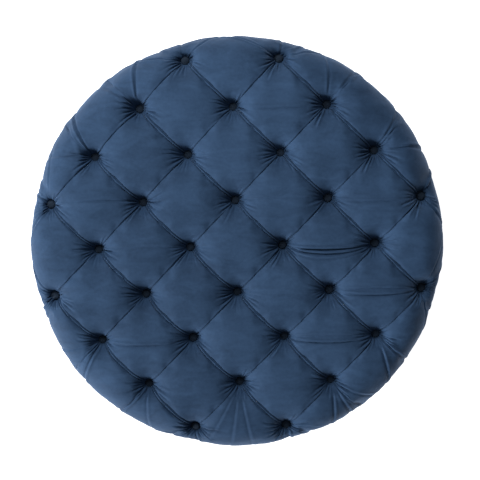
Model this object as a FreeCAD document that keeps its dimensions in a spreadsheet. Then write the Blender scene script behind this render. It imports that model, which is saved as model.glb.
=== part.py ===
# A round, deep-buttoned seat cushion for a large stool or pouffe, built as an upholsterer builds it.
# From below: a dust cover, a plywood seat board with tee nuts, a firm base foam, a soft tufting
# foam, a layer of fibre batting and a velvet cover. Covered buttons pull the cover into the foam
# on a diamond grid, each by a doubled twine that passes through the board and is stapled under it.
# The frame: +Z up, X along the rows of buttons, the origin at the centre of the underside.
import FreeCAD, Part
import Sketcher
import math
import os

from FreeCAD import Placement, Rotation, Vector

# ---------------------------------------------------------------- driving dimensions, in millimetres

DIMENSIONS = [
    ("cushion_diameter", 900, "across the widest part of the cover"),
    ("cushion_height", 140, "underside to crown"),
    ("edge_radius", 60, "fullness of the upper edge"),
    ("edge_facets", 3, "straight steps that stand for the soft upper edge"),
    ("soft_sides", 36, "flats that stand for the round of the soft layers"),
    ("button_spacing", 200, "between the buttons of one row; the next row is half of it away"),
    ("tufted_radius", 425, "buttons lie within this distance of the centre"),
    ("dust_thickness", 1.0, "non-woven dust cover"),
    ("dust_diameter", 810, "dust cover, turned under and stapled"),
    ("cover_thickness", 2.0, "velvet with its backing"),
    ("hem_width", 55, "velvet turned under the board"),
    ("board_diameter", 856, "plywood seat board"),
    ("board_thickness", 18, "plywood seat board"),
    ("board_chamfer", 3, "eased edges, so that the velvet isn't cut"),
    ("tuft_hole_diameter", 8, "holes for the twine, across the corners"),
    ("base_foam_thickness", 45, "firm foam"),
    ("base_foam_diameter", 860, "firm foam"),
    ("tuft_foam_thickness", 60, "soft foam that takes the tufting"),
    ("tuft_foam_diameter", 872, "soft foam, cut larger than the board"),
    ("tuft_foam_bevel", 26, "knife-cut upper edge of the soft foam"),
    ("batting_in_pits", 3, "batting squeezed between velvet and foam down a pit"),
    ("pit_depth", 44, "crown to the velvet under a button"),
    ("pit_floor_width", 27, "square floor that a button sits on"),
    ("pit_mouth_width", 78, "width of a pit at the crown"),
    ("button_diameter", 22, "covered button"),
    ("button_height", 7, "covered button, back to top"),
    ("button_bevel", 3, "rounding of the button's edge"),
    ("button_sides", 8, "flats of a button"),
    ("eye_width", 6, "wire eye on the button's back"),
    ("eye_height", 6, "wire eye on the button's back"),
    ("wire_width", 1.2, "wire of the eyes and of the staples"),
    ("twine_width", 1.2, "waxed twine"),
    ("twine_tail", 24, "twine laid under the board"),
    ("staple_crown", 11, "outside width of a staple"),
    ("staple_thickness", 0.6, "staple wire, flattened"),
    ("staple_setback", 9, "from the edge of the velvet or dust cover to its staples"),
    ("cover_staple_count", 24, "staples that hold the cover's hem"),
    ("dust_staple_count", 20, "staples that hold the dust cover"),
    ("tee_spacing", 400, "between tee nuts, both ways"),
    ("tee_bore_diameter", 6.8, "tapping size of an M8 thread"),
    ("tee_barrel_diameter", 10, "tee nut barrel"),
    ("tee_flange_diameter", 22, "tee nut flange"),
    ("tee_sides", 12, "flats that stand for the round of a tee nut's outside"),
    ("tee_flange_thickness", 1.5, "tee nut flange"),
    ("tee_prong_length", 8, "tee nut prongs, driven into the board"),
    ("tee_prong_width", 2.4, "tee nut prongs"),
    ("tee_prong_setback", 0.6, "flange rim to the back of a prong"),
    ("tee_access_width", 14, "square cut in the dust cover under a tee nut"),
]

document = FreeCAD.newDocument("tufted_seat_cushion")
sheet = document.addObject("Spreadsheet::Sheet", "dims")
for row, (alias, value, note) in enumerate(DIMENSIONS, start=1):
    sheet.set(f"A{row}", note)
    sheet.set(f"B{row}", str(value))
    sheet.setAlias(f"B{row}", alias)
document.recompute()


def dim(alias):
    """The value of one cell of the sheet."""
    return float(getattr(sheet, alias))


# Heights of the layers, as expressions that the features are bound to, and as numbers.
COVER_BOTTOM = "dims.dust_thickness"
BOARD_BOTTOM = f"({COVER_BOTTOM} + dims.cover_thickness)"
BOARD_TOP = f"({BOARD_BOTTOM} + dims.board_thickness)"
board_bottom = dim("dust_thickness") + dim("cover_thickness")
board_top = board_bottom + dim("board_thickness")
base_foam_top = board_top + dim("base_foam_thickness")
tuft_foam_top = base_foam_top + dim("tuft_foam_thickness")
crown = dim("cushion_height")
seat_level = crown - dim("pit_depth")  # velvet under a button


def button_grid():
    """Rows of button places, front to back: every other point of a square grid, in the tufted radius."""
    half = dim("button_spacing") / 2
    reach = int(dim("tufted_radius") // half)
    rows = []
    for j in range(-reach, reach + 1):
        row = [
            (i, j)
            for i in range(-reach, reach + 1)
            if (i + j) % 2 == 1 and math.hypot(i, j) * half <= dim("tufted_radius")
        ]
        if row:
            rows.append(row)
    return rows


BUTTON_ROWS = button_grid()
BUTTONS = [place for row in BUTTON_ROWS for place in row]


def at_button(place, z=0.0):
    """The position of a grid place at height z."""
    half = dim("button_spacing") / 2
    return Vector(place[0] * half, place[1] * half, z)


def facing_in(place):
    """The turn that points Y from a grid place to the centre."""
    return Rotation(Vector(0, 0, 1), math.degrees(math.atan2(place[1], place[0])) + 90)


# ---------------------------------------------------------------- small helpers

subparts = []


def keep(feature, label):
    """Marks a feature as a sub-part with this name."""
    feature.Label = label
    subparts.append(feature)
    return feature


def new_body(name, height_expression=None):
    """An empty body, raised to a height that an expression gives."""
    body = document.addObject("PartDesign::Body", name)
    if height_expression:
        body.setExpression("Placement.Base.z", height_expression)
    return body


def origin_feature(body, role):
    """One of the planes or axes at a body's own origin."""
    return [f for f in body.Origin.OriginFeatures if f.Role == role][0]


def new_sketch(body, name, lift_expression=None):
    """A sketch on the body's own XY plane, lifted off it where an expression says so."""
    sketch = body.newObject("Sketcher::SketchObject", name)
    sketch.AttachmentSupport = [(origin_feature(body, "XY_Plane"), "")]
    sketch.MapMode = "FlatFace"
    if lift_expression:
        sketch.setExpression("AttachmentOffset.Base.z", lift_expression)
    return sketch


def fix(sketch, constraint, expression):
    """Adds a dimension to a sketch and binds it to an expression."""
    index = sketch.addConstraint(constraint)
    sketch.setExpression(f"Constraints[{index}]", expression)


def draw_circle(sketch, radius_expression):
    """A circle round the sketch's origin, with a bound radius."""
    index = sketch.addGeometry(Part.Circle(Vector(0, 0, 0), Vector(0, 0, 1), 1.0), False)
    fix(sketch, Sketcher.Constraint("Radius", index, 1.0), radius_expression)
    sketch.addConstraint(Sketcher.Constraint("Coincident", index, 3, -1, 1))


def pad(body, sketch, length_expression):
    """A pad upwards from a sketch."""
    feature = body.newObject("PartDesign::Pad", f"{sketch.Name}_pad")
    feature.Profile = sketch
    feature.setExpression("Length", length_expression)
    sketch.Visibility = False
    document.recompute()
    return feature


def add_prism(body, name, sides, radius, height_expression, lift_expression="0"):
    """A many-sided straight piece added to a body: sides and radius are bound like its height and lift."""
    prism = body.newObject("PartDesign::AdditivePrism", name)
    prism.setExpression("Polygon", sides)
    prism.setExpression("Circumradius", radius)
    prism.setExpression("Height", height_expression)
    prism.setExpression("Placement.Base.z", lift_expression)
    document.recompute()
    return prism


def pocket_through(body, sketch):
    """A pocket upwards through the whole body, checked to have cut something."""
    before = body.Shape.Volume
    feature = body.newObject("PartDesign::Pocket", f"{sketch.Name}_pocket")
    feature.Profile = sketch
    feature.Type = "ThroughAll"
    feature.Reversed = True
    document.recompute()
    if body.Shape.Volume >= before:
        raise ValueError(f"{feature.Name} cut nothing")
    return feature


def chamfer_rims(body, name, size_expression, heights):
    """A chamfer along the body's full circles that lie at these heights above its base."""
    base = body.Tip
    edges = [
        f"Edge{n}"
        for n, edge in enumerate(base.Shape.Edges, start=1)
        if len(edge.Vertexes) == 1 and any(abs(edge.CenterOfMass.z - z) < 0.01 for z in heights)
    ]
    feature = body.newObject("PartDesign::Chamfer", name)
    feature.Base = (base, edges)
    feature.setExpression("Size", size_expression)
    document.recompute()


def disc_body(name, diameter, thickness, height_expression):
    """A plain disc: diameter and thickness are aliases of the sheet."""
    body = new_body(name, height_expression)
    outline = new_sketch(body, f"{name}_outline")
    draw_circle(outline, f"dims.{diameter} / 2")
    pad(body, outline, f"dims.{thickness}")
    return body


def solid_prism(points, depth):
    """A straight extrusion of a closed outline, centred on the outline's plane."""
    normal = Part.Face(Part.makePolygon(points + points[:1])).normalAt(0, 0)
    face = Part.Face(Part.makePolygon([p - normal * (depth / 2) for p in points + points[:1]]))
    return face.extrude(normal * depth)


def regular_outline(sides, radius, z=0.0):
    """A closed outline with equal sides at height z, whose corners lie on a circle; the first is on X."""
    angles = [2 * math.pi * n / sides for n in range(sides)]
    corners = [Vector(radius * math.cos(angle), radius * math.sin(angle), z) for angle in angles]
    return Part.makePolygon(corners + corners[:1])


def ring_of(shape, count, radius, first_degrees=0.0):
    """Copies of a shape around Z, moved out to a radius; the shape's own X then points outwards."""
    copies = []
    for k in range(count):
        degrees = first_degrees + 360.0 * k / count
        turn = Rotation(Vector(0, 0, 1), degrees)
        copies.append(placed(shape, turn.multVec(Vector(radius, 0, 0)), turn))
    return copies


def placed(shape, position, turn=None):
    """A copy of a shape, moved there."""
    copy = shape.copy()
    copy.Placement = Placement(position, turn or Rotation()).multiply(shape.Placement)
    return copy


def feature_of(name, solids):
    """A document object that holds several separate solids, or one."""
    feature = document.addObject("Part::Feature", name)
    feature.Shape = solids[0] if len(solids) == 1 else Part.makeCompound(solids)
    feature.Placement = Placement()
    return feature


# ---------------------------------------------------------------- soft layers

PIT_SLOPE = math.atan2(dim("pit_depth"), (dim("pit_mouth_width") - dim("pit_floor_width")) / 2)
CUTTER_RISE = 12.0  # cutters stand this far above the crown


def pits(layer_depth, wall_inset):
    """What the buttons' pits leave of a layer: one sloping-walled hole at every button. layer_depth is the
    layer's depth under the velvet's face on the pit's floor, and wall_inset the same on its walls."""
    wall_shift = wall_inset / math.sin(PIT_SLOPE) - layer_depth / math.tan(PIT_SLOPE)
    floor = dim("pit_floor_width") / 2 + wall_shift
    rise = dim("pit_depth") + layer_depth + CUTTER_RISE
    mouth = floor + rise / math.tan(PIT_SLOPE)
    # A wedge grows along Y, so it is stood up afterwards.
    wedge = Part.makeWedge(-floor, 0, -floor, -mouth, -mouth, floor, rise, floor, mouth, mouth)
    cutter = placed(wedge, Vector(0, 0, seat_level - layer_depth), Rotation(Vector(1, 0, 0), 90))
    return [placed(cutter, at_button(place)) for place in BUTTONS]


def many_sided(profile):
    """A round soft form with flat sides, from its outline: (radius, z) from the bottom outwards and up."""
    sides = int(dim("soft_sides"))
    rings = [regular_outline(sides, radius, z).Vertexes for radius, z in profile]
    faces = [Part.Face(regular_outline(sides, *profile[end])) for end in (0, -1)]
    for lower, upper in zip(rings, rings[1:]):
        for n in range(sides):
            ahead = (n + 1) % sides
            corners = [v.Point for v in (lower[n], lower[ahead], upper[ahead], upper[n], lower[n])]
            faces.append(Part.Face(Part.makePolygon(corners)))
    solid = Part.Solid(Part.makeShell(faces))
    if solid.Volume < 0:
        solid.reverse()
    return solid


def cushion_form(inset):
    """The cushion's outer shape with its full upper edge and its pits, drawn in by inset all over."""
    edge = dim("edge_radius")
    facets = int(dim("edge_facets"))
    around_board = dim("board_diameter") / 2 / math.cos(math.pi / dim("soft_sides"))
    profile = [(around_board + dim("cover_thickness") - inset, dim("dust_thickness") + inset)]
    for step in range(facets + 1):
        angle = math.radians(90.0 * step / facets)
        out = dim("cushion_diameter") / 2 - edge + (edge - inset) * math.cos(angle)
        profile.append((out, crown - edge + (edge - inset) * math.sin(angle)))
    return many_sided(profile).cut(pits(inset, inset))


def make_velvet_cover(back_form, pressed_in):
    """The velvet: the cushion's outer face less its inner one, open under the board inside the hem.
    pressed_in is what pierces or dents it: the eyes' slits, and the staples and twine ends at the hem."""
    hem_edge = regular_outline(int(dim("soft_sides")), dim("board_diameter") / 2 - dim("hem_width"))
    opening = Part.Face(hem_edge).extrude(Vector(0, 0, board_bottom))
    skin = cushion_form(0.0).cut([back_form, opening] + pressed_in)
    keep(feature_of("velvet_cover", skin.Solids), "velvet_cover")


def make_fibre_batting(back_form, foam_shapes):
    """Fibre between the foam and the velvet, torn open at each button, and down the side to the board."""
    below = Part.makeCylinder(dim("cushion_diameter") / 2, board_top)
    keep(feature_of("fibre_batting", [back_form.cut([below] + foam_shapes).Solids[0]]), "fibre_batting")


def soft_disc(name, diameter, thickness, height_expression):
    """A plain soft disc with flat sides: diameter and thickness are aliases of the sheet."""
    blank = document.addObject("Part::Prism", name)
    blank.setExpression("Polygon", "dims.soft_sides")
    blank.setExpression("Circumradius", f"dims.{diameter} / 2")
    blank.setExpression("Height", f"dims.{thickness}")
    blank.setExpression("Placement.Base.z", height_expression)
    document.recompute()
    return blank


def tuft_foam_blank():
    """The soft foam before tufting, with a knife-cut bevel round its upper edge."""
    radius = dim("tuft_foam_diameter") / 2
    bevel = dim("tuft_foam_bevel")
    profile = [(radius, base_foam_top), (radius, tuft_foam_top - bevel), (radius - bevel, tuft_foam_top)]
    return feature_of("tuft_foam_blank", [many_sided(profile)])


def cut_feature(name, base, tool):
    """A boolean cut of one document object by another."""
    feature = document.addObject("Part::Cut", name)
    feature.Base = base
    feature.Tool = tool
    document.recompute()
    return keep(feature, name)


def make_foams(twine_paths):
    """The firm foam, pierced by the twines, and the soft foam, also pressed into pits by the buttons."""
    base = soft_disc("base_foam_blank", "base_foam_diameter", "base_foam_thickness", BOARD_TOP)
    base_foam = cut_feature("base_foam", base, twine_paths)
    cover = dim("cover_thickness")
    pressed = document.addObject("Part::Cut", "pressed_foam")
    pressed.Base = tuft_foam_blank()
    pressed.Tool = feature_of("foam_pits", pits(cover, cover + dim("batting_in_pits")))
    tufting_foam = cut_feature("tufting_foam", pressed, twine_paths)
    return base_foam, tufting_foam


# ---------------------------------------------------------------- board and its hardware

TEE_CORNERS = ((-1, -1), (1, -1), (-1, 1), (1, 1))
PRONG_COUNT = 4


def make_base_board(tee_nuts):
    """The plywood disc with its eased lower edge, the seats of the tee nuts and the twine holes."""
    body = disc_body("board_blank", "board_diameter", "board_thickness", BOARD_BOTTOM)
    chamfer_rims(body, "board_eased_edge", "dims.board_chamfer", [0])
    # What repeats most has the fewest faces: six for a twine hole.
    up = Vector(0, 0, board_top)
    hole = Part.Face(regular_outline(6, dim("tuft_hole_diameter") / 2)).extrude(up)
    holes = [placed(hole, at_button(place)) for place in BUTTONS]
    core = Part.Face(regular_outline(int(dim("tee_sides")), dim("tee_barrel_diameter") / 2)).extrude(up)
    seats = tee_nuts.Shape.Solids + [placed(core, position) for position in tee_positions()]
    cut_feature("base_board", body, feature_of("board_holes", holes + seats))


def tee_positions():
    """Where the tee nuts stand."""
    half = dim("tee_spacing") / 2
    return [Vector(x * half, y * half, 0) for x, y in TEE_CORNERS]


def make_tee_nuts():
    """Pronged tee nuts: a threaded barrel, a flange let into the board's top and four prongs each."""
    body = new_body("tee_nut", BOARD_BOTTOM)
    under_flange = "dims.board_thickness - dims.tee_flange_thickness"
    add_prism(body, "tee_barrel", "dims.tee_sides", "dims.tee_barrel_diameter / 2", "dims.board_thickness")
    add_prism(
        body,
        "tee_flange",
        "dims.tee_sides",
        "dims.tee_flange_diameter / 2",
        "dims.tee_flange_thickness",
        under_flange,
    )
    prong = new_sketch(body, "tee_prong", f"{under_flange} - dims.tee_prong_length")
    draw_prong(prong)
    prong_pad = pad(body, prong, "dims.tee_prong_length")
    around = body.newObject("PartDesign::PolarPattern", "tee_prongs")
    around.Originals = [prong_pad]
    around.Axis = (origin_feature(body, "Z_Axis"), [""])
    around.Angle = 360
    around.Occurrences = PRONG_COUNT
    body.Tip = around
    document.recompute()
    bore = new_sketch(body, "tee_bore")
    draw_circle(bore, "dims.tee_bore_diameter / 2")
    pocket_through(body, bore)
    nuts = [placed(body.Shape, position) for position in tee_positions()]
    return keep(feature_of("tee_nuts", nuts), "tee_nuts")


def draw_prong(sketch):
    """A triangle with its point towards the barrel and its back near the flange's rim."""
    back = dim("tee_flange_diameter") / 2 - dim("tee_prong_setback")
    half = dim("tee_prong_width") / 2
    corners = [Vector(back, -half, 0), Vector(back, half, 0), Vector(back - dim("tee_prong_width"), 0, 0)]
    for n in range(3):
        sketch.addGeometry(Part.LineSegment(corners[n], corners[(n + 1) % 3]), False)
    for n in range(3):
        sketch.addConstraint(Sketcher.Constraint("Coincident", n, 2, (n + 1) % 3, 1))
    sketch.addConstraint(Sketcher.Constraint("Vertical", 0))
    sketch.addConstraint(Sketcher.Constraint("PointOnObject", 1, 2, -1))
    sketch.addConstraint(Sketcher.Constraint("Equal", 1, 2))
    fix(sketch, Sketcher.Constraint("DistanceY", 0, 1, 0, 2, 2 * half), "dims.tee_prong_width")
    fix(
        sketch,
        Sketcher.Constraint("DistanceX", -1, 1, 0, 2, back),
        "dims.tee_flange_diameter / 2 - dims.tee_prong_setback",
    )
    fix(
        sketch,
        Sketcher.Constraint("DistanceX", 2, 1, 2, 2, dim("tee_prong_width")),
        "dims.tee_prong_width",
    )


# ---------------------------------------------------------------- buttons, twine and staples


def button_cap():
    """A covered button, back down at z = 0: a disc of many flats with a bevelled upper edge."""
    blank = Part.Face(regular_outline(int(dim("button_sides")), dim("button_diameter") / 2))
    blank = blank.extrude(Vector(0, 0, dim("button_height")))
    upper = [e for e in blank.Edges if e.BoundBox.ZMin > dim("button_height") - 0.01]
    return blank.makeChamfer(dim("button_bevel"), upper)


def eye_shape():
    """A button's wire eye: two legs up to the button and a bar along X, its underside at z = 0."""
    half = dim("eye_width") / 2
    leg, wire = dim("eye_height"), dim("wire_width")
    outline = [
        Vector(-half, 0, 0),
        Vector(half, 0, 0),
        Vector(half, 0, leg),
        Vector(half - wire, 0, leg),
        Vector(half - wire, 0, wire),
        Vector(wire - half, 0, wire),
        Vector(wire - half, 0, leg),
        Vector(-half, 0, leg),
    ]
    return solid_prism(outline, wire)


def make_buttons():
    """The covered buttons, row by row, and under every button the wire eye that the twine pulls on."""
    cap = button_cap()
    for number, row in enumerate(BUTTON_ROWS, start=1):
        caps = [placed(cap, at_button(place, seat_level)) for place in row]
        keep(feature_of(f"button_row_{number}", caps), f"button_row_{number}")
    eye = eye_shape()
    below = seat_level - dim("eye_height")
    eyes = [placed(eye, at_button(place, below), facing_in(place)) for place in BUTTONS]
    keep(feature_of("button_eyes", eyes), "button_eyes")


def twine_shape():
    """A doubled twine in the YZ plane: it loops over the wire of the eye, runs down through the board
    and its two ends lie together under the board. z is that of the whole cushion."""
    thick, wire = dim("twine_width"), dim("wire_width")
    top = seat_level - dim("eye_height") + wire + thick
    inner = wire / 2
    outer = inner + thick
    low = board_bottom - thick
    outline = [
        Vector(0, -outer, top),
        Vector(0, outer, top),
        Vector(0, outer, board_bottom),
        Vector(0, outer + dim("twine_tail"), board_bottom),
        Vector(0, outer + dim("twine_tail"), low),
        Vector(0, inner, low),
        Vector(0, inner, top - thick),
        Vector(0, -inner, top - thick),
        Vector(0, -inner, low),
        Vector(0, -outer, low),
    ]
    return solid_prism(outline, thick)


def make_twines():
    """The twines. Returns the slits at the eyes in the velvet, and the ways through the foam."""
    twine = twine_shape()
    twines = [placed(twine, at_button(place), facing_in(place)) for place in BUTTONS]
    keep(feature_of("tufting_twine", twines), "tufting_twine")
    wide = 2 * dim("twine_width") + dim("wire_width")
    corner = Vector(-dim("eye_width") / 2, -wide / 2, 0)
    slit = Part.makeBox(dim("eye_width"), wide, dim("cover_thickness"), corner)
    way = Part.makeBox(dim("eye_width"), wide, seat_level - board_top, corner)
    slit_bottom = seat_level - dim("cover_thickness")
    slits = [placed(slit, at_button(place, slit_bottom), facing_in(place)) for place in BUTTONS]
    ways = [placed(way, at_button(place, board_top), facing_in(place)) for place in BUTTONS]
    return slits, feature_of("twine_paths", ways)


def staple_bar():
    """What shows of a driven staple: its crown, along X, with its lower face at z = 0."""
    long, wide = dim("staple_crown"), dim("wire_width")
    return Part.makeBox(long, wide, dim("staple_thickness"), Vector(-long / 2, -wide / 2, 0))


def make_staples():
    """Staples: one over each twine's ends, a ring in the cover's hem and a ring round the dust cover."""
    bar = staple_bar()
    over_twine = placed(bar, Vector(0, dim("twine_tail") / 2, 0))
    low = board_bottom - dim("twine_width") - dim("staple_thickness")
    over_twines = [placed(over_twine, at_button(place, low), facing_in(place)) for place in BUTTONS]
    keep(feature_of("twine_staples", over_twines), "twine_staples")
    along_edge = placed(bar, Vector(0, 0, 0), Rotation(Vector(0, 0, 1), 90))
    in_hem = placed(along_edge, Vector(0, 0, dim("dust_thickness")))
    hem_edge = dim("board_diameter") / 2 - dim("hem_width")
    hem_ring = ring_of(in_hem, int(dim("cover_staple_count")), hem_edge + dim("staple_setback"))
    keep(feature_of("cover_staples", hem_ring), "cover_staples")
    count = int(dim("dust_staple_count"))
    dust_edge = dim("dust_diameter") / 2
    dust_ring = ring_of(along_edge, count, dust_edge - dim("staple_setback"), 180 / count)
    keep(feature_of("dust_cover_staples", dust_ring), "dust_cover_staples")
    return over_twines, hem_ring, dust_ring


def make_dust_cover(staples):
    """A thin disc under the board, with a square cut under each tee nut, dented by its staples."""
    disc = soft_disc("dust_cover_blank", "dust_diameter", "dust_thickness", "0")
    wide = dim("tee_access_width")
    window = Part.makeBox(wide, wide, dim("dust_thickness"), Vector(-wide / 2, -wide / 2, 0))
    windows = [placed(window, position) for position in tee_positions()]
    cut_feature("dust_cover", disc, feature_of("dust_cover_cuts", windows + staples))


# ---------------------------------------------------------------- assembly


def build():
    """Makes every sub-part."""
    make_base_board(make_tee_nuts())
    make_buttons()
    eye_slits, twine_paths = make_twines()
    over_twines, hem_ring, dust_ring = make_staples()
    make_dust_cover(dust_ring)
    base_foam, tufting_foam = make_foams(twine_paths)
    back_form = cushion_form(dim("cover_thickness"))
    under_hem = document.getObject("tufting_twine").Shape.Solids
    make_velvet_cover(back_form, eye_slits + under_hem + over_twines + hem_ring)
    make_fibre_batting(back_form, [base_foam.Shape, tufting_foam.Shape])
    document.recompute()


def check():
    """Stops if any object failed, or any sub-part isn't a set of valid closed solids."""
    failed = [o.Name for o in document.Objects if {"Invalid", "Error"} & set(o.State)]
    if failed:
        raise ValueError(f"failed objects: {failed}")
    for part in subparts:
        if part.Shape.isNull() or not part.Shape.isValid() or not part.Shape.Solids:
            raise ValueError(f"{part.Label} is not a valid solid")


def export():
    """Writes each sub-part to parts/ under its own name."""
    os.makedirs("parts", exist_ok=True)
    for part in subparts:
        part.Shape.exportStep(f"parts/{part.Label}.step")
        box = part.Shape.BoundBox
        volume = part.Shape.Volume / 1000
        print(f"{part.Label:24s} {volume:9.1f} cm3   z {box.ZMin:6.1f} to {box.ZMax:6.1f}")


build()
check()
export()
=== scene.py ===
import math

import bmesh
import bpy
import numpy as np
from mathutils import Euler, Matrix, Vector


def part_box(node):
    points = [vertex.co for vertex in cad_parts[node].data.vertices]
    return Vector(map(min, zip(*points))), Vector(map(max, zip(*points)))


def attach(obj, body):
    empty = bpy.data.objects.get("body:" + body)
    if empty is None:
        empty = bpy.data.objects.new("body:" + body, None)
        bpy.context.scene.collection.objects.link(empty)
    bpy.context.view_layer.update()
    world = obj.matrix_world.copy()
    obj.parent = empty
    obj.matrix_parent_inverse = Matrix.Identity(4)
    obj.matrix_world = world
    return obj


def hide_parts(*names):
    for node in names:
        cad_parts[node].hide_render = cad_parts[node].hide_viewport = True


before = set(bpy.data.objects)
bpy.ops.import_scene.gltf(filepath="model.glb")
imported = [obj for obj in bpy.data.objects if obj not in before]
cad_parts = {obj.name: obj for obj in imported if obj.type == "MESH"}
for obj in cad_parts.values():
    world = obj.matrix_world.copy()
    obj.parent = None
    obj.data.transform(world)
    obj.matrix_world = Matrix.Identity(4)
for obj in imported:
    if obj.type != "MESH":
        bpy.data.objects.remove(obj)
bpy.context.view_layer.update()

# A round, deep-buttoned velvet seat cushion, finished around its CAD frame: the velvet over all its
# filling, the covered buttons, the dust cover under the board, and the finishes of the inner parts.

MM = 0.001
scene = bpy.context.scene

# ------------------------------------------------------------------ sizes that the CAD frame gives

cover_low, cover_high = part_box("velvet_cover")
board_low, board_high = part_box("base_board")
dust_low, dust_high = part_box("dust_cover")
ROWS = [f"button_row_{number}" for number in range(1, 10)]
row_boxes = [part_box(name) for name in ROWS]

RADIUS = (cover_high.x - cover_low.x) / 2
CROWN = cover_high.z
HEM_PLANE = cover_low.z
BOARD_RADIUS = (board_high.x - board_low.x) / 2
DUST_RADIUS = (dust_high.x - dust_low.x) / 2
BUTTON_SEAT = row_boxes[0][0].z
BUTTON_HEIGHT = row_boxes[0][1].z - row_boxes[0][0].z
BUTTON_RADIUS = (row_boxes[0][1].y - row_boxes[0][0].y) / 2
HALF_STEP = (row_boxes[-1][1].y - row_boxes[0][0].y - 2 * BUTTON_RADIUS) / 8

ROW_FROM_CENTRE = {name: number - 4 for number, name in enumerate(ROWS)}  # in steps, front to back

EDGE_ROUND = 60 * MM  # fullness of the upper edge
HEM_WIDTH = 57 * MM  # velvet turned under the board
LOWER_ROUND = 5 * MM  # where the velvet turns under
VELVET = 2 * MM
BATTING = 1 * MM  # as thin as it is drawn over the board's edge
SHEET_TRIM = 1.5 * MM  # grid corners nearer than this to the sheet's edge are left out


def button_places():
    """Grid places of the buttons, as whole steps from the centre: the rows alternate."""
    places = []
    for name, (_, high) in zip(ROWS, row_boxes):
        j = ROW_FROM_CENTRE[name]
        reach = round((high.x - BUTTON_RADIUS) / HALF_STEP)
        places += [(i, j) for i in range(-reach, reach + 1, 2)]
    return places


BUTTONS = button_places()

# ------------------------------------------------------------------ the flat sheet of velvet
# The sheet is laid out flat first. Its two directions are those of the folds: "along" runs to the
# front right, as the tucks do, and "across" to the back right, as the single folds do.

ROOT_HALF = math.sqrt(0.5)
FOLD_STEP = 2 * HALF_STEP * ROOT_HALF  # between neighbouring buttons, along a fold

# Steps from a fold to the middle of a diamond, as shares of the half width: fine at the fold.
FINE_STEPS = (0.0, 0.025, 0.055, 0.095, 0.15, 0.22, 0.31, 0.41, 0.52, 0.64, 0.76, 0.88, 1.0)

EDGE_STEP = 5.6 * MM  # between grid lines beyond the last fold

TUCK_BOW = 2.6 * MM  # how far a tuck sags sideways between its buttons
BOW_REACH = 34 * MM  # how far beside the tuck the velvet moves with it
BOW_FIELD = (2.5 * FOLD_STEP, 2.8 * FOLD_STEP)  # half the field of bowed tucks, along and across


def smooth(x, low, high):
    """0 below low, 1 above high, and an even ramp between."""
    t = np.clip((x - low) / (high - low), 0.0, 1.0)
    return t * t * (3.0 - 2.0 * t)


def swell(distance, width):
    """A rounded swell across a line: 1 on the line, 0 away from it. Taken away, it is a groove."""
    return np.exp(-((distance / width) ** 2))


def to_sheet(x, y):
    """Plan position to fold directions."""
    return (x - y) * ROOT_HALF, (x + y) * ROOT_HALF


def to_plan(along, across):
    """Fold directions to plan position."""
    return (along + across) * ROOT_HALF, (across - along) * ROOT_HALF


# The section of the cushion, as arc lengths along the velvet from the centre.
TOP_END = RADIUS - EDGE_ROUND
EDGE_END = TOP_END + EDGE_ROUND * math.pi / 2
SIDE_FOOT = Vector((BOARD_RADIUS + VELVET + BATTING, HEM_PLANE + LOWER_ROUND))
SIDE_TOP = Vector((RADIUS, CROWN - EDGE_ROUND))
SIDE_END = EDGE_END + (SIDE_TOP - SIDE_FOOT).length
TURN_END = SIDE_END + LOWER_ROUND * math.pi / 2
SHEET_RADIUS = TURN_END + HEM_WIDTH


def section(rho):
    """Radius, height and outward direction of the untufted cushion at arc length rho from the centre."""
    r, z = np.array(rho, float), np.full_like(rho, CROWN)
    out, up = np.zeros_like(r), np.ones_like(r)
    edge = (rho > TOP_END) & (rho <= EDGE_END)
    angle = (rho[edge] - TOP_END) / EDGE_ROUND
    r[edge] = TOP_END + EDGE_ROUND * np.sin(angle)
    z[edge] = CROWN - EDGE_ROUND + EDGE_ROUND * np.cos(angle)
    out[edge], up[edge] = np.sin(angle), np.cos(angle)
    side = (rho > EDGE_END) & (rho <= SIDE_END)
    t = (rho[side] - EDGE_END) / (SIDE_END - EDGE_END)
    r[side] = SIDE_TOP.x + (SIDE_FOOT.x - SIDE_TOP.x) * t
    z[side] = SIDE_TOP.y + (SIDE_FOOT.y - SIDE_TOP.y) * t
    out[side], up[side] = 1.0, 0.0
    turn = (rho > SIDE_END) & (rho <= TURN_END)
    angle = (rho[turn] - SIDE_END) / LOWER_ROUND
    r[turn] = SIDE_FOOT.x - LOWER_ROUND + LOWER_ROUND * np.cos(angle)
    z[turn] = SIDE_FOOT.y - LOWER_ROUND * np.sin(angle)
    out[turn], up[turn] = np.cos(angle), -np.sin(angle)
    under = rho > TURN_END
    r[under] = SIDE_FOOT.x - LOWER_ROUND - (rho[under] - TURN_END)
    z[under] = HEM_PLANE
    out[under], up[under] = 0.0, -1.0
    return r, z, out, up


# ------------------------------------------------------------------ how the buttons shape the velvet

PIT_REACH = 15 * MM  # how fast a pit rises away from its button
PIT_FLOOR = 0.8 * BUTTON_RADIUS  # radius of the pit's level floor
PIT_DEPTH = CROWN - BUTTON_SEAT - 1 * MM
TUCK_DEPTH = 3.5 * MM  # a fold's depth midway between two buttons
FOLD_DEPTH = 2.8 * MM
CREASE_REACH = 6 * MM  # how fast a fold rises away from its line


def at_button(i, j):
    """A grid place in sheet directions."""
    return to_sheet(i * HALF_STEP, j * HALF_STEP)


def fold_lines():
    """Segments between neighbouring buttons, as (start, end, is_tuck) in sheet directions."""
    places = set(BUTTONS)
    segments = []
    for i, j in BUTTONS:
        for di, dj, is_tuck in ((1, -1, True), (1, 1, False)):
            if (i + di, j + dj) in places:
                segments.append((at_button(i, j), at_button(i + di, j + dj), is_tuck))
    return segments


SEGMENTS = fold_lines()
CENTRES = np.array([at_button(*button) for button in BUTTONS])


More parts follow.
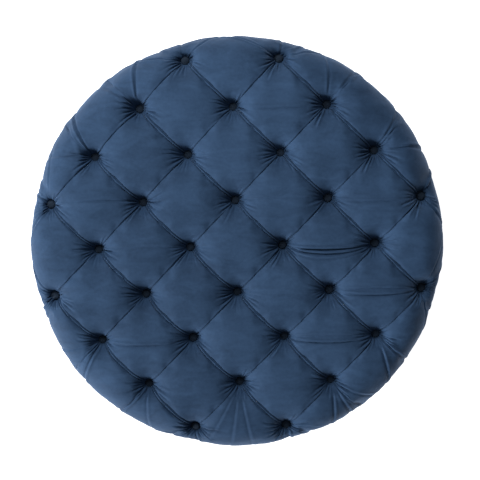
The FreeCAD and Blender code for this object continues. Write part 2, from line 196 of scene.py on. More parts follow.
def to_segment(along, across, start, end):
    """Share of the way along a straight segment, the side distance and the distance past its ends."""
    ax, ay = start
    dx, dy = end[0] - ax, end[1] - ay
    length = math.hypot(dx, dy)
    t = ((along - ax) * dx + (across - ay) * dy) / length**2
    side = (-(along - ax) * dy + (across - ay) * dx) / length
    past = np.maximum(np.maximum(-t, t - 1.0), 0.0) * length
    return t, side, past


def beside(along, across, start, end, reach):
    """Which points lie beside a segment within reach, their side distance and their share of the way."""
    t, side, _ = to_segment(along, across, start, end)
    near = (np.abs(side) < reach) & (t > 0.0) & (t < 1.0)
    return near, side[near], t[near]


def nearest_button(along, across):
    """Distance to the nearest button."""
    return np.minimum.reduce([np.hypot(along - a, across - b) for a, b in CENTRES])


def bowed(along, across):
    """The places across, moved near each tuck so that it sags sideways between its buttons."""
    tuck = (np.round(across / FOLD_STEP - 0.5) + 0.5) * FOLD_STEP
    t = along / FOLD_STEP + 0.5
    within = (np.abs(along) < BOW_FIELD[0]) & (np.abs(across) < BOW_FIELD[1])
    sag = np.sin(np.pi * (t - np.floor(t)))
    return across - within * TUCK_BOW * sag * swell(across - tuck, BOW_REACH)


def grid_lines():
    """Grid lines in one direction: fine beside every fold, even beyond the last one. Being rounded, a line
    that two folds share is counted once."""
    half = FOLD_STEP / 2
    lines = set()
    for k in range(-3, 4):
        for share in FINE_STEPS:
            lines.add(round(k * FOLD_STEP + half - share * half, 7))
            lines.add(round(k * FOLD_STEP - half + share * half, 7))
    end = max(lines)
    count = int((SHEET_RADIUS - end) / EDGE_STEP) + 2
    outer = [end + EDGE_STEP * (n + 1) for n in range(count)]
    return np.array(sorted([*lines, *outer, *(-x for x in outer)]))


def tufting_depth(along, across):
    """How far the buttons and folds pull the velvet in from the full form."""
    pit = np.exp(-np.maximum(nearest_button(along, across) - PIT_FLOOR, 0.0) / PIT_REACH)
    crease = np.zeros_like(along)
    for start, end, is_tuck in SEGMENTS:
        _, side, past = to_segment(along, across, start, end)
        fold = (TUCK_DEPTH if is_tuck else FOLD_DEPTH) * np.exp(-np.hypot(side, past) / CREASE_REACH)
        crease = np.maximum(crease, fold)
    return np.minimum(PIT_DEPTH * pit + crease * (1.0 - pit), PIT_DEPTH)


# ------------------------------------------------------------------ tucks, pleats and wrinkles

TUCK_HALF = 3.2 * MM  # from a tuck's ridge to the groove on each side
# Grooves and ridges as (place, height, width): a tuck's place in shares of its half, all else in mm.
TUCK_SHAPE = ((-1, -4.8, 1.1), (0, 3.2, 1.8), (1, -3.8, 1.0))
FOLD_SHAPE = ((0, -1.3, 1.1), (3.2, 0.6, 2.2))
FOLD_NEAR = 16 * MM  # nothing of a tuck or fold is further than this from its line


def fold_relief(along, across):
    """Height of the tucks, each a rolled ridge between two grooves, and of the single folds across them."""
    relief = np.zeros_like(along)
    for start, end, is_tuck in SEGMENTS:
        near, side, t = beside(along, across, start, end, FOLD_NEAR)
        taper = smooth(t, 0.03, 0.14) * (1.0 - smooth(t, 0.88, 0.98))
        spread = TUCK_HALF * (0.45 + 0.55 * np.sin(np.pi * t) ** 0.7) if is_tuck else MM
        for place, height, width in TUCK_SHAPE if is_tuck else FOLD_SHAPE:
            relief[near] += taper * height * MM * swell(side - place * spread, width * MM)
    return relief


# Pleats over the edge: (button, where it crosses the rim in degrees from +X, strength).
RIM_PLEATS = (
    ((-3, 2), 141, 1.0), ((-3, 2), 152, 0.5), ((-2, 3), 118, 1.0), ((-2, 3), 128, 0.35),
    ((-1, 4), 112, 0.9), ((-1, 4), 104, 0.6), ((-1, 4), 99, 0.35), ((1, 4), 84, 0.8),
    ((1, 4), 76, 0.7), ((1, 4), 70, 0.4), ((2, 3), 62, 0.5), ((2, 3), 55, 0.35),
    ((3, 2), 28, 1.0), ((3, 2), 38, 0.45), ((4, 1), 16, 0.6), ((4, 1), 9, 0.5),
    ((4, -1), -11, 0.9), ((4, -1), -20, 0.6), ((4, -1), -4, 0.35), ((3, -2), -35, 0.9),
    ((3, -2), -42, 0.9), ((2, -3), -62, 0.7), ((2, -3), -57, 0.5), ((2, -3), -50, 0.4),
    ((1, -4), -76, 0.7), ((1, -4), -68, 0.4), ((0, -3), -87, 0.35), ((0, -3), -93, 0.3),
    ((0, -3), -100, 0.3), ((-1, -4), -103, 0.7), ((-1, -4), -110, 0.5), ((-2, -3), -126, 0.7),
    ((-2, -3), -118, 0.4), ((-3, -2), -141, 0.9), ((-3, -2), -150, 0.6), ((-4, -1), -165, 0.8),
    ((-4, -1), -172, 0.5), ((-4, 1), 165, 0.8), ((-4, 1), 172, 0.5), ((-4, 1), 156, 0.3),
)
RIM = TOP_END + 0.85 * EDGE_ROUND  # arc length at which the pleats cross the rim
PLEAT_END = SIDE_END - 8 * MM
PLEAT_DEPTH = 3 * MM
PLEAT_RIDGE = 2 * MM  # the height of the ridge beside it
PLEAT_NEAR = 30 * MM  # as FOLD_NEAR


def pleat_relief(along, across):
    """Height of the pleats that run from the outer buttons over the edge and down the side."""
    relief = np.zeros_like(along)
    for (i, j), degrees, strength in RIM_PLEATS:
        start = Vector((i * HALF_STEP, j * HALF_STEP))
        angle = math.radians(degrees)
        course = (Vector((math.cos(angle), math.sin(angle))) * RIM - start).normalized()
        inward = start.dot(course)
        end = start + course * (math.sqrt(inward**2 + PLEAT_END**2 - start.length_squared) - inward)
        near, side, t = beside(along, across, to_sheet(*start), to_sheet(*end), PLEAT_NEAR)
        taper = smooth(t, 0.05, 0.2) * (1.0 - smooth(t, 0.35, 0.95)) ** 0.8
        width = (1.5 + 3.5 * t) * MM
        shape = PLEAT_RIDGE * swell(side - 2.1 * width, 1.2 * width) - PLEAT_DEPTH * swell(side, width)
        relief[near] += strength * taper * shape
    return relief


# The fans of short wrinkles at a button: (middle in degrees from +X, spread, count, longest and
# deepest in mm).
FANS = (
    (-165, 44, 9, 72, 3.6), (-98, 22, 4, 46, 2.8), (-20, 22, 5, 78, 3.6),
    (22, 20, 3, 46, 2.6), (85, 40, 2, 30, 2.0),
)
FAN_START, FAN_END = 8 * MM, 80 * MM  # distances from a button that hold all its wrinkles
FAN_LEAN = 14  # the most that a button's fans are turned, in degrees
HARD_PULL = (260 * MM, 330 * MM)  # between these distances from the centre the pull grows to its full


def wrinkle_relief(along, across, rng):
    """Height of the short wrinkles that run out from every button, each a groove beside a low ridge."""
    relief = np.zeros_like(along)
    for a, b in CENTRES:
        dx, dy = along - a, across - b
        distance = np.hypot(dx, dy)
        near = (distance < FAN_END) & (distance > FAN_START)
        angle = np.arctan2(dy[near], dx[near]) - math.radians(45)  # from +X, as the fans are
        far = distance[near]
        shape = np.zeros_like(far)
        lean = rng.uniform(-FAN_LEAN, FAN_LEAN)
        outer = smooth(math.hypot(a, b), *HARD_PULL)
        pull = rng.uniform(0.45, 0.85) * (1.0 - outer) + outer
        for middle, spread, count, longest, deepest in FANS:
            for n in range(count + rng.integers(-1, 2)):
                place = (n + rng.uniform(0.1, 0.9)) / count * 2 - 1
                towards = math.radians(middle + lean + spread * place)
                reach = longest * rng.uniform(0.5, 1.0) * MM
                height = pull * deepest * rng.uniform(0.5, 1.0) * MM
                bend = rng.uniform(-0.16, 0.16)
                turn = angle - towards - bend * (far / reach)
                side = ((turn + math.pi) % (2 * math.pi) - math.pi) * far
                width = 1.1 * MM + 0.02 * far
                fade = smooth(far, 10 * MM, 15 * MM) * (1.0 - smooth(far, 0.4 * reach, reach))
                ridge = 0.75 * swell(side - 1.9 * width, 1.3 * width)
                shape += fade * height * (ridge - swell(side, width))
        relief[near] += shape
    return relief


# Long wrinkles drawn across a diamond: (from button, to button, sag in mm, strength).
LONG_WRINKLES = (
    ((1, 0), (3, 0), -8, 1.5), ((1, 0), (3, 0), -17, 1.1), ((1, 0), (3, 0), -28, 0.5),
    ((2, -1), (4, -1), -8, 0.8), ((2, -1), (4, -1), 6, 0.5), ((1, -2), (3, -2), -9, 0.8),
    ((1, -2), (3, -2), 7, 0.4), ((2, 1), (4, 1), -8, 0.5), ((0, 3), (2, 3), -7, 0.5),
    ((-3, -2), (-1, -2), -8, 0.6), ((-3, 0), (-1, 0), 7, 0.35), ((-2, 1), (-4, 1), -7, 0.4),
    ((0, 1), (2, 1), 6, 0.3), ((-1, 2), (1, 2), -7, 0.3),
)
LONG_DEPTH, LONG_WIDTH = 5 * MM, 2.2 * MM
LONG_NEAR = 45 * MM  # as FOLD_NEAR


def long_relief(along, across):
    """Height of the long wrinkles: grooves that leave a button and fade before the next one."""
    relief = np.zeros_like(along)
    for first, second, sag, strength in LONG_WRINKLES:
        start, end = at_button(*first), at_button(*second)
        near, side, t = beside(along, across, start, end, LONG_NEAR)
        side -= sag * MM * np.sin(np.pi * t) ** 0.8
        taper = smooth(t, 0.06, 0.2) * (1.0 - smooth(t, 0.55, 0.97))
        ridge = 0.7 * swell(side - 1.9 * LONG_WIDTH, 1.4 * LONG_WIDTH)
        relief[near] += strength * taper * LONG_DEPTH * (ridge - swell(side, LONG_WIDTH))
    return relief


GATHERS = 96  # in the hem, all round
GATHER_START, GATHER_FULL = SIDE_END - 45 * MM, SIDE_END - 10 * MM  # on the way down the side


def gather_relief(along, across, rng):
    """Height of the small gathers where the round velvet is drawn in under the board."""
    x, y = to_plan(along, across)
    rho, angle = np.hypot(x, y), np.arctan2(y, x)
    near = rho > GATHER_START
    shape = np.zeros(near.sum())
    places = np.cumsum(rng.uniform(0.6, 1.4, GATHERS))
    for place, depth in zip(places * 2 * math.pi / places[-1], rng.uniform(0.3, 0.75, GATHERS)):
        side = ((angle[near] - place + math.pi) % (2 * math.pi) - math.pi) * BOARD_RADIUS
        shape += depth * MM * (swell(side - 6 * MM, 3.5 * MM) - swell(side, 3 * MM))
    relief = np.zeros_like(along)
    relief[near] = shape * smooth(rho[near], GATHER_START, GATHER_FULL)
    return relief


LUMPS = 14
LUMP_LENGTHS = (70, 190)  # shortest and longest, in mm
LUMP_HEIGHT = 0.28 * MM


def uneven(along, across, rng):
    """The slow unevenness of hand-filled upholstery."""
    height = np.zeros_like(along)
    for _ in range(LUMPS):
        wavelength = rng.uniform(*LUMP_LENGTHS) * MM
        angle, phase = rng.uniform(0, 2 * math.pi, 2)
        way = along * math.cos(angle) + across * math.sin(angle)
        height += LUMP_HEIGHT * np.sin(way * 2 * math.pi / wavelength + phase)
    return height


# ------------------------------------------------------------------ the velvet cover


def outer_edge(faces, size):
    """Which corners lie on the sheet's edge."""
    pairs = np.concatenate([faces[:, [k, (k + 1) % 4]] for k in range(4)])
    pairs.sort(axis=1)
    pairs, uses = np.unique(pairs, axis=0, return_counts=True)
    on_edge = np.zeros(size, bool)
    on_edge[pairs[uses == 1].ravel()] = True
    return on_edge


def round_sheet(lines, radius, trim, cuts=()):
    """A flat round sheet from a grid with these lines both ways, without its square cuts, each given as
    (place, place, half width). Corners within trim of the edge are left out, and the last that stay are
    drawn out to it. Returns the places of the corners, and the faces, which face up."""
    x, y = (places.ravel() for places in np.meshgrid(lines, lines, indexing="ij"))
    index = np.arange(len(x)).reshape(len(lines), len(lines))
    faces = np.stack([index[:-1, :-1], index[1:, :-1], index[1:, 1:], index[:-1, 1:]], axis=-1)
    faces = faces.reshape(-1, 4)
    keep = (np.hypot(x, y) < radius - trim)[faces].all(axis=1)
    middle_x, middle_y = x[faces].mean(axis=1), y[faces].mean(axis=1)
    for cut_x, cut_y, half in cuts:
        keep &= np.maximum(abs(middle_x - cut_x), abs(middle_y - cut_y)) > half
    used, faces = np.unique(faces[keep], return_inverse=True)
    x, y, faces = x[used], y[used], faces.reshape(-1, 4)
    reach = np.hypot(x, y)
    rim = outer_edge(faces, len(x)) & (reach > 0.9 * radius)
    x[rim] *= radius / reach[rim]
    y[rim] *= radius / reach[rim]
    return x, y, faces


LEAN_START = TOP_END + 15 * MM  # from here outwards, the buttons pull the velvet more and more inwards


def drape(along, across):
    """The sheet laid over the cushion and pulled in by its buttons."""
    x, y = to_plan(along, bowed(along, across))
    rho, angle = np.hypot(x, y), np.arctan2(y, x)
    r, z, out, up = section(rho)
    depth = tufting_depth(along, across)
    lean = smooth(rho, LEAN_START, EDGE_END)
    r -= depth * lean * out
    z -= depth * (1.0 - lean + lean * up)
    return np.stack([r * np.cos(angle), r * np.sin(angle), z], axis=1)


def new_object(name, points, faces):
    """A mesh object at the origin, linked to the scene."""
    mesh = bpy.data.meshes.new(name)
    mesh.from_pydata([tuple(p) for p in points], [], [tuple(f) for f in faces])
    mesh.update()
    obj = bpy.data.objects.new(name, mesh)
    scene.collection.objects.link(obj)
    return obj


def only(obj):
    """Makes this the one selected and active object."""
    bpy.ops.object.select_all(action="DESELECT")
    obj.select_set(True)
    bpy.context.view_layer.objects.active = obj


def vectors(values, name):
    """The vectors of a mesh's points, normals or attribute, as an array."""
    data = np.empty(len(values) * 3)
    values.foreach_get(name, data)
    return data.reshape(-1, 3)


def coordinates(obj):
    """The places of the mesh's points."""
    return vectors(obj.data.vertices, "co")


def set_coordinates(obj, points):
    """Writes the places of the points back into the mesh."""
    obj.data.vertices.foreach_set("co", np.asarray(points, float).ravel())
    obj.data.update()


def sheet_places(obj):
    """Where each point lies on the flat sheet, along and across. The subdivisions carry this with them."""
    places = vectors(obj.data.attributes["sheet"].data, "vector")
    return places[:, 0].copy(), places[:, 1].copy()


HELD_ROUND_BUTTON = 1.15 * BUTTON_RADIUS
HELD_BESIDE_FOLD = 0.5 * MM
HELD_FROM = SIDE_END - 12 * MM  # the velvet is fixed from here on down


def held_points(along, across):
    """The points that the filling can't push out: under the buttons, along the folds and in the hem."""
    held = nearest_button(along, across) < HELD_ROUND_BUTTON
    for start, end, _ in SEGMENTS:
        _, side, past = to_segment(along, across, start, end)
        held |= np.hypot(side, past) < HELD_BESIDE_FOLD
    return held | (np.hypot(along, across) > HELD_FROM)


SETTLING = 20  # frames that the cloth moves for


def inflate(obj, held, most):
    """Lets the filling press the velvet outwards, but no point further than its own limit in most. The
    velvet is cut a little too large, so it also wrinkles."""
    before = coordinates(obj)
    group = obj.vertex_groups.new(name="held")
    group.add(np.flatnonzero(held).tolist(), 1.0, "REPLACE")
    only(obj)
    filling = obj.modifiers.new("filling", "CLOTH")
    filling.settings.vertex_group_mass = group.name
    filling.settings.quality = 5
    filling.settings.mass = 0.3
    filling.settings.tension_stiffness = filling.settings.compression_stiffness = 18
    filling.settings.shear_stiffness = 6
    filling.settings.bending_stiffness = 0.25
    filling.settings.use_pressure = True
    filling.settings.uniform_pressure_force = 3.5
    filling.settings.shrink_min = -0.02
    filling.settings.effector_weights.gravity = 0
    for number in range(SETTLING):
        scene.frame_set(number + 1)
    bpy.ops.object.modifier_apply(modifier=filling.name)
    scene.frame_set(1)
    move = coordinates(obj) - before
    length = np.linalg.norm(move, axis=1)
    share = np.minimum(1.0, most / np.maximum(length, 1e-9))
    set_coordinates(obj, before + move * share[:, None])
    obj.vertex_groups.clear()


TOP_REACH = 400 * MM  # from the centre, on the sheet
TOP_RISE, EDGE_RISE = 16 * MM, 7 * MM  # the most that the filling lifts the velvet, inside and beyond it
WRINKLES_END = SIDE_END - 15 * MM  # they fade out from here on down
TALLEST = 4.5 * MM  # of any ridge
LOWEST = dust_low.z + 0.2 * MM  # the dust cover and its staples lie lower than the gathers of the hem


def make_cover():
    """The velvet cover over all its filling: laid flat, draped, inflated, then creased."""
    along, across, faces = round_sheet(grid_lines(), SHEET_RADIUS, SHEET_TRIM)
    obj = new_object("cushion_cover", drape(along, across), faces)
    place = obj.data.attributes.new("sheet", "FLOAT_VECTOR", "POINT")
    place.data.foreach_set("vector", np.stack([along, across, 0 * along], axis=1).ravel())
    on_top = np.hypot(along, across) < TOP_REACH
    inflate(obj, held_points(along, across), np.where(on_top, TOP_RISE, EDGE_RISE))
    only(obj)
    finer = obj.modifiers.new("finer", "SUBSURF")
    finer.levels = finer.render_levels = 1
    finer.boundary_smooth = "PRESERVE_CORNERS"
    bpy.ops.object.modifier_apply(modifier=finer.name)
    refine(obj)
    along, across = sheet_places(obj)
    rng = np.random.default_rng(7)
    relief = fold_relief(along, across) + pleat_relief(along, across) + long_relief(along, across)
    relief += wrinkle_relief(along, across, rng) + uneven(along, across, rng)
    relief *= 1.0 - smooth(np.hypot(along, across), WRINKLES_END, SIDE_END)
    relief += gather_relief(along, across, rng)
    relief = np.where(relief > 0, TALLEST * np.tanh(relief / TALLEST), relief)
    points = coordinates(obj) + vectors(obj.data.vertex_normals, "vector") * relief[:, None]
    points[:, 2] = np.maximum(points[:, 2], LOWEST)
    set_coordinates(obj, points)
    close_under_board(obj)
    obj.data.shade_smooth()
    return obj


FINE_REACH = 50 * MM  # from a button
FINE_LONG, FINE_PLEAT = 0.15 * MM, 0.3 * MM  # the relief from which on their faces are halved


def refine(obj):
    """Halves the faces once more round the buttons and along the pleats and long wrinkles."""
    along, across = sheet_places(obj)
    near = nearest_button(along, across) < FINE_REACH
    near |= np.abs(long_relief(along, across)) > FINE_LONG
    near |= np.abs(pleat_relief(along, across)) > FINE_PLEAT
    pairs = np.empty(len(obj.data.edges) * 2, int)
    obj.data.edges.foreach_get("vertices", pairs)
    pairs = pairs.reshape(-1, 2)
    near[pairs[near[pairs].any(axis=1)]] = True  # and their neighbours, so that no gap is left
    mesh = bmesh.new()
    mesh.from_mesh(obj.data)
    edges = [e for e in mesh.edges if near[e.verts[0].index] and near[e.verts[1].index]]
    bmesh.ops.subdivide_edges(mesh, edges=edges, cuts=1, use_grid_fill=True)
    mesh.to_mesh(obj.data)
    mesh.free()


BOARD_GAP = 0.4 * MM  # between the board's edge and the cover
BOARD_CLEARANCE = 0.1 * MM  # between its faces and the cover


def close_under_board(obj):
    """Carries the cover's inner edge in over the board's lower face, round its edge and in over its upper
    face, so that the cushion is one closed form with the board in it."""
    mesh = bmesh.new()
    mesh.from_mesh(obj.data)
    loop = [e for e in mesh.edges if e.is_boundary]
    below, above = board_low.z - BOARD_CLEARANCE, board_high.z + BOARD_CLEARANCE
    outside = BOARD_RADIUS + BOARD_GAP
    for radius, z in ((None, below), (outside, below), (outside, above), (BOARD_RADIUS / 2, above)):
        made = bmesh.ops.extrude_edge_only(mesh, edges=loop)["geom"]
        for v in (g for g in made if isinstance(g, bmesh.types.BMVert)):
            flat = Vector((v.co.x, v.co.y))
            if radius:
                flat = flat.normalized() * radius
            v.co = (flat.x, flat.y, z)
        loop = [g for g in made if isinstance(g, bmesh.types.BMEdge)]
    bmesh.ops.contextual_create(mesh, geom=loop)
    bmesh.ops.recalc_face_normals(mesh, faces=mesh.faces)
    mesh.to_mesh(obj.data)
    mesh.free()
    obj.data.update()


cover = make_cover()
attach(cover, "root")
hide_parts("velvet_cover", "fibre_batting", "tufting_foam", "base_foam")

# ------------------------------------------------------------------ materials


class Link:
    """A node's output that can be used in sums."""

    def __init__(self, nodes, socket):
        self.nodes, self.socket = nodes, socket

    def math(self, operation, *others):
        """A Math node with this and other links or numbers."""
        return self.nodes.add("ShaderNodeMath", {"operation": operation}, (self, *others))

    def __add__(self, other):
        return self.math("ADD", other)

    __radd__ = __add__

    def __mul__(self, other):
        return self.math("MULTIPLY", other)

    __rmul__ = __mul__

    def __sub__(self, other):
        return self.math("SUBTRACT", other)

    def __rsub__(self, other):
        return self.nodes.add("ShaderNodeMath", {"operation": "SUBTRACT"}, (other, self))


class Nodes:
    """The nodes of one material."""

    def __init__(self, name):
        self.material = bpy.data.materials.new(name)
        self.material.use_nodes = True
        self.tree = self.material.node_tree
        self.tree.nodes.clear()

    def add(self, kind, settings=None, values=(), output=0):
        """A node with its settings and its sockets' values or links, given in order or by name."""
        node = self.tree.nodes.new(kind)
        for name, value in (settings or {}).items():
            if name == "stops":
                for (position, colour), stop in zip(value, node.color_ramp.elements):
                    stop.position, stop.color = position, (*colour, 1.0)
            else:
                setattr(node, name, value)
        for key, value in values.items() if isinstance(values, dict) else enumerate(values):
            if isinstance(value, Link):
                self.tree.links.new(value.socket, node.inputs[key])
            else:
                node.inputs[key].default_value = value
        return Link(self, node.outputs[output]) if node.outputs else None

    def place(self):
        """The place on the object, which every pattern follows."""
        return self.add("ShaderNodeTexCoord", output=3)

    def noise(self, place, scale, detail, **others):
        """Noise of this scale at a place."""
        values = {"Vector": place, "Scale": scale, "Detail": detail, **others}
        return self.add("ShaderNodeTexNoise", None, values)

    def ramp(self, value, *stops):
        """The colour that a value picks from the stops."""
        return self.add("ShaderNodeValToRGB", {"stops": stops}, (value,))

    def relief(self, height, strength, distance):
        """Fine relief of the surface."""
        values = {"Strength": strength, "Distance": distance, "Height": height}
        return self.add("ShaderNodeBump", None, values)

    def finish(self, surface):
        """Adds the surface with these values or links, and returns the material."""
        shader = self.add("ShaderNodeBsdfPrincipled", None, surface)
        self.add("ShaderNodeOutputMaterial", None, {"Surface": shader})
        return self.material


def velvet_material(name, dark, light, sheen):
    """Short-pile velvet: dark, with a soft sheen and faint marks where the pile was brushed."""
    n = Nodes(name)
    place = n.place()
    turned = {"Vector": place, "Rotation": (0, 0, 0.35), "Scale": (1.0, 2.4, 1.0)}
    brushed = n.add("ShaderNodeMapping", None, turned)
    broad = n.noise(place, 5.0, 2.0, Distortion=0.6)
    streaks = n.noise(brushed, 16.0, 5.0, Roughness=0.62, Distortion=0.9)
    marks = broad * 0.4 + streaks * 0.6
    pile = n.noise(place, 900.0, 2.0)
    grain = n.noise(place, 160.0, 3.0)
    return n.finish({
        "Base Color": n.ramp(marks * 0.8 + grain * 0.2, (0.34, dark), (0.66, light)),
        "Roughness": 0.72 + 0.16 * marks,
        "Normal": n.relief(pile * 0.6 + grain * 0.4, 0.35, 0.6 * MM),
        "Sheen Weight": sheen,
        "Sheen Roughness": 0.38,
        "Sheen Tint": (0.30, 0.45, 0.72, 1.0),
        "Specular IOR Level": 0.18,
    })


velvet = velvet_material("navy_velvet", (0.0145, 0.037, 0.081), (0.032, 0.071, 0.145), 0.28)
cover.data.materials.append(velvet)

# ------------------------------------------------------------------ covered buttons

SHOWN = 0.85  # a covered button's width with its velvet drawn tight
EDGE_SHARE = 0.42  # of a button's height, up to where it is widest
BUTTON_GATHERS = 11
GATHER_DEPTH = 0.25 * MM
BUTTON_LIFT = 0.3 * MM  # above its seat
BUTTON_TIP = 0.06  # the most that it is tipped, in radians


def dome_template():
    """One covered button with its back at z = 0: a shallow dome whose velvet is gathered round its edge."""
    bpy.ops.object.select_all(action="DESELECT")
    bpy.ops.mesh.primitive_uv_sphere_add(segments=36, ring_count=18, radius=BUTTON_RADIUS)
    dome = bpy.context.object
    points = coordinates(dome)
    flat = points[:, 2] / BUTTON_RADIUS
    spread = np.hypot(points[:, 0], points[:, 1]) / BUTTON_RADIUS
    angle = np.arctan2(points[:, 1], points[:, 0])
    upper = BUTTON_HEIGHT * (EDGE_SHARE + (1.0 - EDGE_SHARE) * np.clip(flat, 0, 1) ** 0.85)
    lower = BUTTON_HEIGHT * EDGE_SHARE * (1.0 + np.clip(flat, -1, 0)) ** 0.6
    points[:, 2] = np.where(flat >= 0, upper, lower)
    waves = np.sin(angle * BUTTON_GATHERS + 2.0 * np.sin(angle * 2))
    gather = GATHER_DEPTH * waves * smooth(spread, 0.55, 1.0)
    points[:, 0] += gather * np.cos(angle)
    points[:, 1] += gather * np.sin(angle)
    points[:, :2] *= SHOWN
    set_coordinates(dome, points)
    dome.data.shade_smooth()
    return dome


def make_buttons():
    """The covered buttons of each row, as one piece a row, each turned and tipped a little differently."""
    template = dome_template()
    rng = np.random.default_rng(11)
    for name in ROWS:
        copies = []
        for i, j in (place for place in BUTTONS if place[1] == ROW_FROM_CENTRE[name]):
            copy = template.copy()
            copy.data = template.data.copy()
            scene.collection.objects.link(copy)
            tip = rng.uniform(-BUTTON_TIP, BUTTON_TIP, 2)
            turn = Euler((tip[0], tip[1], rng.uniform(0, 6.28))).to_matrix().to_4x4()
            seat = Vector((i * HALF_STEP, j * HALF_STEP, BUTTON_SEAT + BUTTON_LIFT))
            copy.data.transform(Matrix.Translation(seat) @ turn)
            copies.append(copy)
        only(copies[0])
        for copy in copies:
            copy.select_set(True)
        bpy.ops.object.join()
        piece = bpy.context.object
        piece.name = f"covered_{name}"
        piece.data.materials.append(shaded_button_velvet)
        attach(piece, "root")
        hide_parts(name)
    bpy.data.objects.remove(template)


# The buttons are covered in the same navy velvet as the cushion. These darker colours are painted shade,
# standing in for the shade at the bottom of their deep pits.
shaded_button_velvet = velvet_material("navy_velvet_buttons_painted_shade", (0.009, 0.017, 0.031), (0.022, 0.038, 0.064), 0.4)
make_buttons()

# ------------------------------------------------------------------ the underside

DUST_LEVEL = (dust_low.z + dust_high.z) / 2
DUST_THICKNESS = 0.3 * MM
DUST_STEP = 7.5 * MM  # between its grid lines
DUST_TRIM = 0.5 * MM  # as SHEET_TRIM
DUST_STAPLES = 20
PUCKER = 0.1 * MM  # between the staples
TURNED_IN = 0.1 * MM  # where the cloth lies double at its edge
SLACK = 0.08 * MM
WINDOW = 7 * MM  # half the width of the cut under a tee nut
NUT_FLANGE = 11 * MM  # radius
nut_low, nut_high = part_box("tee_nuts")
NUT_PLACES = (nut_low.x + NUT_FLANGE, nut_high.x - NUT_FLANGE)  # both ways


def dust_lines():
    """Grid lines of the dust cover in one direction, with a line along each edge of the cuts."""
    count = int(DUST_RADIUS / DUST_STEP)
    lines = [n * DUST_STEP for n in range(-count, count + 1)]
    edges = [place + side for place in NUT_PLACES for side in (-WINDOW, WINDOW)]
    clear = [x for x in lines if min(abs(x - edge) for edge in edges) > DUST_STEP / 3]
    return np.array(sorted(clear + edges))


def make_dust_cover():
    """The non-woven cloth under the board: stretched flat, a little puckered between its staples."""
    cuts = [(x, y, WINDOW) for x in NUT_PLACES for y in NUT_PLACES]
    x, y, faces = round_sheet(dust_lines(), DUST_RADIUS, DUST_TRIM, cuts)
    radius, angle = np.hypot(x, y), np.arctan2(y, x)
    at_edge = smooth(radius, DUST_RADIUS - 60 * MM, DUST_RADIUS - 8 * MM)
    pucker = np.cos(angle * DUST_STAPLES + 0.6 * np.sin(3 * angle)) * (1.0 - 0.35 * np.cos(angle * 7))
    turned = smooth(radius, DUST_RADIUS - 22 * MM, DUST_RADIUS - 17 * MM)
    z = DUST_LEVEL + PUCKER * pucker * at_edge - TURNED_IN * turned
    z += SLACK * np.sin(x * 31) * np.sin(y * 23)
    piece = new_object("dust_cloth", np.stack([x, y, z], axis=1), faces[:, ::-1])
    only(piece)
    thick = piece.modifiers.new("thickness", "SOLIDIFY")
    thick.thickness, thick.offset = DUST_THICKNESS, 0.0
    bpy.ops.object.modifier_apply(modifier=thick.name)
    piece.data.shade_smooth()
    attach(piece, "root")
    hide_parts("dust_cover")
    return piece


SPUNBOND_DOTS = 2600.0  # radians of the dot pattern to a metre
PLY = 1.5 * MM  # thickness of a layer
TWIST = 4200.0  # radians of the twine's twist to a metre


def spunbond_material():
    """Black non-woven cloth: loose fibres, pressed together in a pattern of small dots."""
    n = Nodes("black_spunbond")
    place = n.place()
    fibres = n.noise(place, 420.0, 6.0, Roughness=0.7)
    clouds = n.noise(place, 24.0, 3.0)
    x, y = (n.add("ShaderNodeSeparateXYZ", None, (place,), output=axis) for axis in (0, 1))
    waves = (x * SPUNBOND_DOTS).math("SINE") * (y * SPUNBOND_DOTS).math("SINE")
    dots = waves.math("GREATER_THAN", 0.55)
    shade = fibres * 0.6 + clouds * 0.4 - dots * 0.08
    return n.finish({
        "Base Color": n.ramp(shade, (0.3, (0.009, 0.009, 0.010)), (0.75, (0.030, 0.030, 0.032))),
        "Roughness": 0.7 + 0.2 * fibres - 0.25 * dots,
        "Normal": n.relief(fibres - dots * 0.6, 0.7, 0.3 * MM),
        "Sheen Weight": 0.15,
    })


def plywood_material():
    """Birch plywood: long grain on the faces, thin layers in turn on the edge."""
    n = Nodes("birch_plywood")
    place = n.place()
    drawn = n.add("ShaderNodeMapping", None, {"Vector": place, "Scale": (3.0, 60.0, 12.0)})
    grain = n.noise(drawn, 1.6, 6.0, Distortion=0.8)
    z = n.add("ShaderNodeSeparateXYZ", None, (place,), output=2)
    layers = (z * (math.pi / PLY)).math("SINE").math("GREATER_THAN", 0.0)
    shade = grain * 0.85 + layers * 0.15
    return n.finish({
        "Base Color": n.ramp(shade, (0.25, (0.36, 0.23, 0.12)), (0.8, (0.62, 0.46, 0.29))),
        "Roughness": 0.55 + 0.2 * grain,
        "Normal": n.relief(grain, 0.4, 0.3 * MM),
    })


def metal_material(name, dark, light, roughness):
    """Plated steel: spangled, with faint drawing marks."""
    n = Nodes(name)
    place = n.place()
    spangle = n.add("ShaderNodeTexVoronoi", None, {"Vector": place, "Scale": 700.0}, output=1)
    tone = n.add("ShaderNodeRGBToBW", None, (spangle,))
    marks = n.noise(place, 1500.0, 3.0)
    return n.finish({
        "Base Color": n.ramp(tone * 0.6 + marks * 0.4, (0.2, dark), (0.8, light)),
        "Roughness": roughness - 0.06 + 0.18 * marks,
        "Metallic": 1.0,
        "Normal": n.relief(marks, 0.3, 0.1 * MM),
    })


def twine_material():
    """Waxed linen twine with its twist."""
    n = Nodes("waxed_linen")
    place = n.place()
    x, y, z = (n.add("ShaderNodeSeparateXYZ", None, (place,), output=axis) for axis in range(3))
    twist = ((x + y + z) * TWIST).math("SINE")
    fibre = n.noise(place, 900.0, 4.0)
    shade = fibre * 0.7 + twist * 0.15 + 0.1
    return n.finish({
        "Base Color": n.ramp(shade, (0.2, (0.20, 0.15, 0.09)), (0.8, (0.46, 0.38, 0.26))),
        "Roughness": 0.42 + 0.2 * fibre,
        "Normal": n.relief(twist * 0.5 + fibre * 0.5, 0.6, 0.3 * MM),
    })


def finish_node(name, material):
    """Gives a CAD node its finish."""
    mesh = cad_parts[name].data
    mesh.materials.clear()
    mesh.materials.append(material)


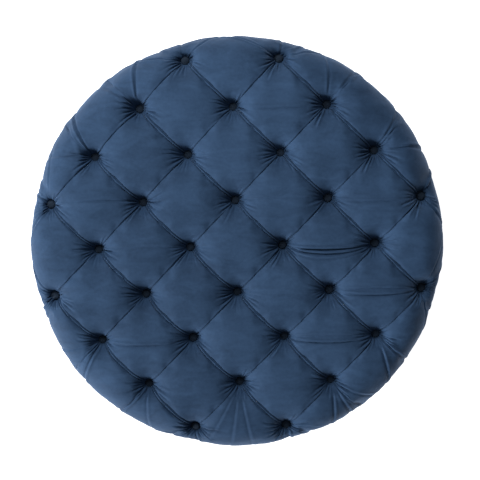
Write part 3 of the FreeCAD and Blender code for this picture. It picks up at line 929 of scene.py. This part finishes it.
make_dust_cover().data.materials.append(spunbond_material())
finish_node("base_board", plywood_material())
finish_node("tee_nuts", metal_material("zinc_plate", (0.42, 0.43, 0.45), (0.74, 0.75, 0.77), 0.34))
wire = metal_material("galvanised_wire", (0.38, 0.39, 0.40), (0.66, 0.67, 0.68), 0.4)
for name in ("button_eyes", "twine_staples", "cover_staples", "dust_cover_staples"):
    finish_node(name, wire)
finish_node("tufting_twine", twine_material())

# ------------------------------------------------------------------ floor, light and camera


def make_floor():
    """A plain white floor, which glows so that it is evenly white."""
    bpy.ops.object.select_all(action="DESELECT")
    bpy.ops.mesh.primitive_plane_add(size=30.0, location=(0, 0, -1 * MM))
    floor = bpy.context.object
    floor.name = "studio_floor"
    white = {"Base Color": (0.9, 0.9, 0.9, 1), "Roughness": 0.9}
    glow = {"Emission Color": (1, 1, 1, 1), "Emission Strength": 1.0}
    floor.data.materials.append(Nodes("white_floor").finish({**white, **glow}))


def add_light(name, place, size, power):
    """A round soft light that points at the middle of the cushion."""
    data = bpy.data.lights.new(name, "AREA")
    data.shape, data.size, data.energy = "DISK", size, power
    light = bpy.data.objects.new(name, data)
    light.location = place
    aim = Vector((0, 0, 0.1)) - light.location
    light.rotation_euler = aim.to_track_quat("-Z", "Y").to_euler()
    scene.collection.objects.link(light)


VIEW_DISTANCE = 2.0
VIEW_WIDTH = 1.055  # what the picture takes in across, at the cushion's widest level
VIEW_TILT = math.radians(5.8)  # from straight above
VIEW_BEARING = math.radians(80.0)  # the way of the tilt, from +X
VIEW_ROLL = math.radians(-1.37)
VIEW_SHIFT = (0.0073, 0.0104)


def make_camera():
    """A camera nearly straight above the cushion, with the cushion's back at the top of the picture."""
    data = bpy.data.cameras.new("camera")
    data.sensor_width = 36.0
    data.lens = data.sensor_width * VIEW_DISTANCE / VIEW_WIDTH
    data.shift_x, data.shift_y = VIEW_SHIFT
    camera = bpy.data.objects.new("camera", data)
    away = math.sin(VIEW_TILT)
    back = Vector((away * math.cos(VIEW_BEARING), away * math.sin(VIEW_BEARING), math.cos(VIEW_TILT)))
    right = Vector((0, 1, 0)).cross(back).normalized()
    turn = Matrix((right, back.cross(right), back)).transposed().to_4x4()
    place = Vector((0, 0, CROWN - EDGE_ROUND)) + back * VIEW_DISTANCE
    camera.matrix_world = Matrix.Translation(place) @ turn @ Matrix.Rotation(VIEW_ROLL, 4, "Z")
    scene.collection.objects.link(camera)
    scene.camera = camera


make_floor()
make_camera()
add_light("key", (-4.3, -3.0, 2.05), 1.7, 365)
add_light("top", (-1.0, 1.7, 1.8), 1.2, 50)
world = bpy.data.worlds.new("studio")
world.use_nodes = True
sky = world.node_tree.nodes["Background"].inputs
sky["Color"].default_value = (1, 1, 1, 1)
sky["Strength"].default_value = 0.17
scene.world = world
scene.view_settings.view_transform = "Standard"
